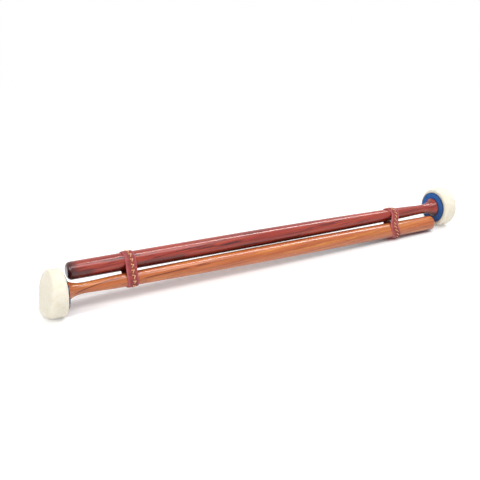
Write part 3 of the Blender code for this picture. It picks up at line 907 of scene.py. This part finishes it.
class Loop:
    """A loop's path, taut round both shafts.  Its X runs from the front shaft to the rear one."""

    def __init__(self, station, lean):
        half = LOOP_WIDTH / 2
        self.low = shaft_radius(station + FLANGE_FACE + half) + FRONT_SHAFT_SWELL + STRAP_CLEARANCE
        from_rear = HEADS_APART - station + FLANGE_FACE + half
        self.high = shaft_radius(from_rear) + REAR_SHAFT_SWELL + STRAP_CLEARANCE
        self.lean = lean
        self.angle = math.acos((self.low - self.high) / SHAFT_SEPARATION)
        self.run = SHAFT_SEPARATION * math.sin(self.angle)
        turn = Matrix((ACROSS, ALONG.cross(ACROSS), ALONG)).transposed().to_4x4()
        self.place = Matrix.Translation(FRONT_HEAD_CENTRE + station * ALONG) @ turn

    def length(self, height):
        rear_arc = self.angle * (self.high + height)
        front_arc = (math.pi - self.angle) * (self.low + height)
        return 2 * (rear_arc + front_arc + self.run)

    def point(self, share, height, along):
        """The point at a share of the way round, raised height off the strap's inner side."""
        middle = STRAP_THICKNESS / 2
        distance = (share % 1.0) * self.length(middle)
        low_arc = 2 * (math.pi - self.angle) * (self.low + middle)
        if distance < self.run:
            turn = self.angle
            rearward = 1 - distance / self.run
        elif distance < self.run + low_arc:
            turn = self.angle + (distance - self.run) / (self.low + middle)
            rearward = 0.0
        elif distance < 2 * self.run + low_arc:
            turn = -self.angle
            rearward = (distance - self.run - low_arc) / self.run
        else:
            turn = -self.angle + (distance - 2 * self.run - low_arc) / (self.high + middle)
            rearward = 1.0
        normal = Vector((math.cos(turn), math.sin(turn)))
        from_axis = self.low + (self.high - self.low) * rearward + height
        spot = Vector((SHAFT_SEPARATION * rearward, 0.0)) + normal * from_axis
        leant = math.sin(math.pi * (spot.x - SHAFT_SEPARATION / 2) / LOOP_LEAN_REACH)
        return Vector((spot.x, spot.y, along + self.lean * SHAFT_SEPARATION / 2 * leant))


def strap_height(along):
    """Outer face of the strap across its width: rolled borders, and a seam where it is drawn in."""
    side = min(1.0, abs(along) / (LOOP_WIDTH / 2))
    rolled = STRAP_THICKNESS * (1 - side ** STRAP_ROLL) ** (1 / STRAP_FULLNESS)
    from_seam = along - SEAM_SIDE_STEP
    groove = SEAM_DEPTH * math.exp(-((from_seam / SEAM_HALF_WIDTH) ** 2))
    pull = SEAM_PULL * math.exp(-((abs(from_seam) - STITCH_HALF_SPREAD) / SEAM_PULL_WIDTH) ** 2)
    return rolled - groove - pull * (rolled / STRAP_THICKNESS)


def make_strap(prefix, loop, stitches, seed):
    half = LOOP_WIDTH / 2
    section = []
    for step in range(LOOP_OUTER_STEPS + 1):
        along = half * math.sin(math.pi / 2 * (2 * step / LOOP_OUTER_STEPS - 1))
        section.append((along, strap_height(along), True))
    for step in range(1, LOOP_INNER_STEPS):
        section.append((half * (1 - 2 * step / LOOP_INNER_STEPS), 0.0, False))
    points = []
    seam_share = []
    border_share = []
    offset = Vector((seed * 2.9, seed * 4.3, seed * 1.1))
    for step in range(LOOP_PATH_STEPS):
        share = step / LOOP_PATH_STEPS
        phase = (share * stitches) % 1.0
        at_hole = math.exp(-((min(phase, 1 - phase) / HOLE_SHARE) ** 2))
        for along, height, is_outer in section:
            spot = loop.point(share, height, along)
            edge = abs(along) / half
            if is_outer and height > 0.05 * MM:
                lump = noise.noise(spot / COARSE_GRAIN + offset)
                lump += 0.5 * noise.noise(spot / FINE_GRAIN + offset)
                off_hole = (abs(along - SEAM_SIDE_STEP) - STITCH_HALF_SPREAD) / HOLE_HALF_WIDTH
                dimple = HOLE_DEPTH * at_hole * math.exp(-off_hole ** 2)
                spot = loop.point(share, height + GRAIN_HEIGHT * lump - dimple, along)
            spot.z += EDGE_WAVE * noise.noise(Vector((share * 9, along / half * 0.3, seed * 7.7)))
            points.append(spot)
            in_seam = math.exp(-((along - SEAM_SIDE_STEP) / SEAM_COLOUR_WIDTH) ** 4)
            seam_share.append(in_seam if is_outer else 0.0)
            # The outer face grows paler towards both borders.
            border_share.append(0.75 * max(0.0, edge - 0.62) / 0.38 if is_outer else 0.0)
    count = len(section)
    faces = []
    for step in range(LOOP_PATH_STEPS):
        here = step * count
        there = ((step + 1) % LOOP_PATH_STEPS) * count
        for index in range(count):
            after = (index + 1) % count
            faces.append((here + index, there + index, there + after, here + after))
    piece = mesh_piece(prefix + "_loop_strap", points, faces, loop.place, "red_leather")
    for name, values in (("seam", seam_share), ("paler_border", border_share)):
        attribute = piece.data.attributes.new(name, "FLOAT", "POINT")
        attribute.data.foreach_set("value", values)
    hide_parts(prefix + "_loop_leather")
    return piece


def across_path(path, index):
    """Two directions across a path at one of its points."""
    ahead = (path[min(index + 1, len(path) - 1)] - path[max(index - 1, 0)]).normalized()
    side = ahead.cross(TUBE_REFERENCE).normalized()
    return side, ahead.cross(side)


def tube(path, radius, sides, points, faces):
    """Adds a closed round tube along a path to the points and faces."""
    first = len(points)
    for index, spot in enumerate(path):
        side, other = across_path(path, index)
        for corner in range(sides):
            angle = 2 * math.pi * corner / sides
            points.append(spot + (side * math.cos(angle) + other * math.sin(angle)) * radius)
    for index in range(len(path) - 1):
        for corner in range(sides):
            after = (corner + 1) % sides
            low = first + index * sides
            faces.append((low + corner, low + after, low + sides + after, low + sides + corner))
    faces.append(tuple(first + corner for corner in reversed(range(sides))))
    last = first + (len(path) - 1) * sides
    faces.append(tuple(last + corner for corner in range(sides)))


def make_stitching(prefix, loop, legs, stitches, seed):
    """A row of stitches of two-ply thread, whose legs rise from a hole and dive into the seam."""
    draw = random.Random(seed)
    points = []
    faces = []
    for stitch in range(stitches):
        for from_side, from_share, to_side, to_share, sink in legs:
            reach = STITCH_HALF_SPREAD + draw.uniform(-0.20, 0.15) * MM
            start = (stitch + from_share + draw.uniform(-0.06, 0.06)) / stitches
            drop = (to_share - from_share + draw.uniform(-0.08, 0.08)) / stitches
            end_side = to_side + draw.uniform(-0.12, 0.12)
            line = []
            for step in range(LEG_STEPS + 1):
                share = step / LEG_STEPS
                along = SEAM_SIDE_STEP + reach * (from_side + (end_side - from_side) * share)
                bow = math.sin(math.pi * (0.10 + 0.82 * share))
                height = STRAP_THICKNESS + (-0.25 + 0.58 * bow - sink * share) * MM
                line.append(loop.point(start + drop * share ** 1.3, height, along))
            for ply in (0, math.pi):
                strand = []
                for step, spot in enumerate(line):
                    out, other = across_path(line, step)
                    turn = ply + from_side * 2 * math.pi * PLY_TURNS * step / LEG_STEPS
                    outward = out * math.cos(turn) + other * math.sin(turn)
                    strand.append(spot + outward * PLY_OFFSET)
                tube(strand, PLY_RADIUS, PLY_SIDES, points, faces)
    piece = mesh_piece(prefix + "_loop_thread", points, faces, loop.place, "gold_thread")
    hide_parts(prefix + "_loop_stitching")
    return piece


def make_loop(prefix, station, lean, pitch, legs, seed):
    loop = Loop(station, lean)
    stitches = round(loop.length(STRAP_THICKNESS) / pitch)
    strap = make_strap(prefix, loop, stitches, seed)
    thread = make_stitching(prefix, loop, legs, stitches, seed)
    for piece in (strap, thread):
        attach(piece, prefix + "_loop")


HIDDEN_FINISHES = {
    "_core": "core_wood",
    "_core_felt": "core_felt",
    "_cover_thread": "cotton_thread",
}


def dress_hidden_nodes():
    """Finishes for the CAD pieces that stay, inside the heads."""
    for prefix in ("front", "rear"):
        for node, finish in HIDDEN_FINISHES.items():
            thing = frame["nodes"][prefix + node]
            thing.data.materials.clear()
            thing.data.materials.append(FINISHES[finish])


make_mallet(
    "front", FRONT_HEAD_CENTRE, -ALONG,
    FRONT_SHAFT_LENGTH, FRONT_SHAFT_SWELL, FRONT_SETTLING, "orange_wood", 11,
)
make_mallet(
    "rear", REAR_HEAD_CENTRE, ALONG,
    REAR_SHAFT_LENGTH, REAR_SHAFT_SWELL, REAR_SETTLING, "red_wood", 23,
)
make_loop("left", LEFT_LOOP_STATION, LEFT_LOOP_LEAN, LEFT_STITCH_PITCH, HOOKED_LEGS, 3)
right_station = HEADS_APART - RIGHT_LOOP_STATION
make_loop("right", right_station, RIGHT_LOOP_LEAN, RIGHT_STITCH_PITCH, SLANTED_LEGS, 8)
dress_hidden_nodes()


# Floor and light.  Under the front shaft's low end the floor has a painted contact shadow.
FLOOR_HALF_SIZE = 4.0
FLOOR_DROP = 0.00012
FLOOR_FADE = (0.30, 0.75)
FLOOR_LIFT = 0.26
PAPER = (0.90, 0.90, 0.90, 1.0)
# Colour, reach and openness range of the painted contact shadow
CONTACT_SHADOW_TINT = (0.80, 0.30, 0.34, 1.0)
CONTACT_REACH = 0.006
CONTACT_OPENNESS = (0.12, 0.50)
LOW_END = (0.120, 0.0, 0.0)
LOW_END_FADE = (0.050, 0.066)
WORLD_STRENGTH = 0.36
BACKGROUND_STRENGTH = 1.0
# Name, position, direction of the long side, length, width and watts of each lamp
LAMPS = (
    ("overhead_strip", (0.50, 0.15, 0.95), (1.0, 0.2, 0.0), 0.75, 0.11, 5.2),
    ("front_panel", (-0.05, -0.35, 0.92), (1.0, 0.0, 0.0), 1.0, 0.36, 4.6),
    ("left_fill", (-1.15, -0.35, 0.80), (0.0, 1.0, 0.0), 0.7, 0.5, 6.0),
)


def make_floor():
    """A white floor that shows shadows near the object and fades to plain white further off."""
    bpy.ops.mesh.primitive_plane_add(size=2 * FLOOR_HALF_SIZE, location=(0.0, 0.0, -FLOOR_DROP))
    floor = bpy.context.object
    floor.name = "studio_floor"
    material = bpy.data.materials.new("studio_floor_finish")
    material.use_nodes = True
    wiring = Wiring(material.node_tree)
    nodes = wiring.nodes
    nodes.clear()
    place = nodes.new("ShaderNodeTexCoord").outputs["Object"]
    seen = wiring.seen_directly()

    # Painted contact shadow: close to the shafts near the front shaft's low end, the paper turns maroon and loses
    # its lift.
    uncrowded = wiring.band(wiring.openness(CONTACT_REACH), *CONTACT_OPENNESS)
    beyond = wiring.band(wiring.distance(place, LOW_END), *LOW_END_FADE)
    clear = wiring.reckoned("MAXIMUM", uncrowded, beyond)
    paper = nodes.new("ShaderNodeBsdfDiffuse")
    wiring.put(paper.inputs["Color"], wiring.mixed(clear, CONTACT_SHADOW_TINT, PAPER))
    lift = nodes.new("ShaderNodeEmission")
    wiring.put(lift.inputs["Strength"], wiring.product(seen, wiring.product(clear, FLOOR_LIFT)))
    near = nodes.new("ShaderNodeAddShader")
    wiring.put(near.inputs[0], paper.outputs["BSDF"])
    wiring.put(near.inputs[1], lift.outputs["Emission"])

    white = nodes.new("ShaderNodeEmission")
    white.inputs["Strength"].default_value = BACKGROUND_STRENGTH
    blended = nodes.new("ShaderNodeMixShader")
    fade = wiring.band(wiring.distance(place), *FLOOR_FADE)
    wiring.put(blended.inputs["Fac"], wiring.product(fade, seen))
    wiring.put(blended.inputs[1], near.outputs["Shader"])
    wiring.put(blended.inputs[2], white.outputs["Emission"])
    output = nodes.new("ShaderNodeOutputMaterial")
    wiring.put(output.inputs["Surface"], blended.outputs["Shader"])
    floor.data.materials.append(material)


def make_world():
    """Even white light, seen as plain white in the background and in reflections."""
    world = bpy.data.worlds.new("studio")
    bpy.context.scene.world = world
    world.use_nodes = True
    wiring = Wiring(world.node_tree)
    background = wiring.nodes["Background"]
    background.inputs["Color"].default_value = (1.0, 1.0, 1.0, 1.0)
    strength = wiring.band(wiring.seen_directly(), 0.0, 1.0, WORLD_STRENGTH, BACKGROUND_STRENGTH)
    wiring.put(background.inputs["Strength"], strength)


def softbox(name, position, along, length, width, watts):
    """A rectangular lamp that faces the object, with its long side laid along a direction."""
    light = bpy.data.lights.new(name, "AREA")
    light.shape = "RECTANGLE"
    light.size = length
    light.size_y = width
    light.energy = watts
    behind = Vector(position).normalized()
    above = behind.cross(Vector(along)).normalized()
    turn = Matrix((above.cross(behind), above, behind)).transposed().to_4x4()
    placed(name, light, Matrix.Translation(position) @ turn)


# Camera, matched to the photograph's 480 pixel frame
PICTURE_SIZE = 480
FOCAL_PIXELS = 740
OPTICAL_CENTRE_ROW = 229.0
CAMERA_YAW = math.radians(30.580)
CAMERA_PITCH = math.radians(25.075)
CAMERA_ROLL = math.radians(3.0)
CAMERA_POSITION = Vector((-0.31892, -0.48221, 0.30054))
SENSOR_WIDTH = 36.0


def make_camera():
    camera = bpy.data.cameras.new("photo_camera")
    camera.sensor_width = SENSOR_WIDTH
    camera.lens = SENSOR_WIDTH * FOCAL_PIXELS / PICTURE_SIZE
    camera.shift_y = (OPTICAL_CENTRE_ROW - PICTURE_SIZE / 2) / PICTURE_SIZE
    camera.clip_start = 0.01
    camera.clip_end = 50.0
    forward = Vector((
        math.sin(CAMERA_YAW) * math.cos(CAMERA_PITCH),
        math.cos(CAMERA_YAW) * math.cos(CAMERA_PITCH),
        -math.sin(CAMERA_PITCH),
    ))
    level = Vector((math.cos(CAMERA_YAW), -math.sin(CAMERA_YAW), 0.0))
    upright = level.cross(forward)
    right = level * math.cos(CAMERA_ROLL) + upright * math.sin(CAMERA_ROLL)
    above = upright * math.cos(CAMERA_ROLL) - level * math.sin(CAMERA_ROLL)
    turn = Matrix((right, above, -forward)).transposed().to_4x4()
    place = Matrix.Translation(CAMERA_POSITION) @ turn
    bpy.context.scene.camera = placed("photo_camera", camera, place)


make_floor()
make_world()
for lamp_values in LAMPS:
    softbox(*lamp_values)
make_camera()
bpy.context.scene.view_settings.view_transform = "Standard"
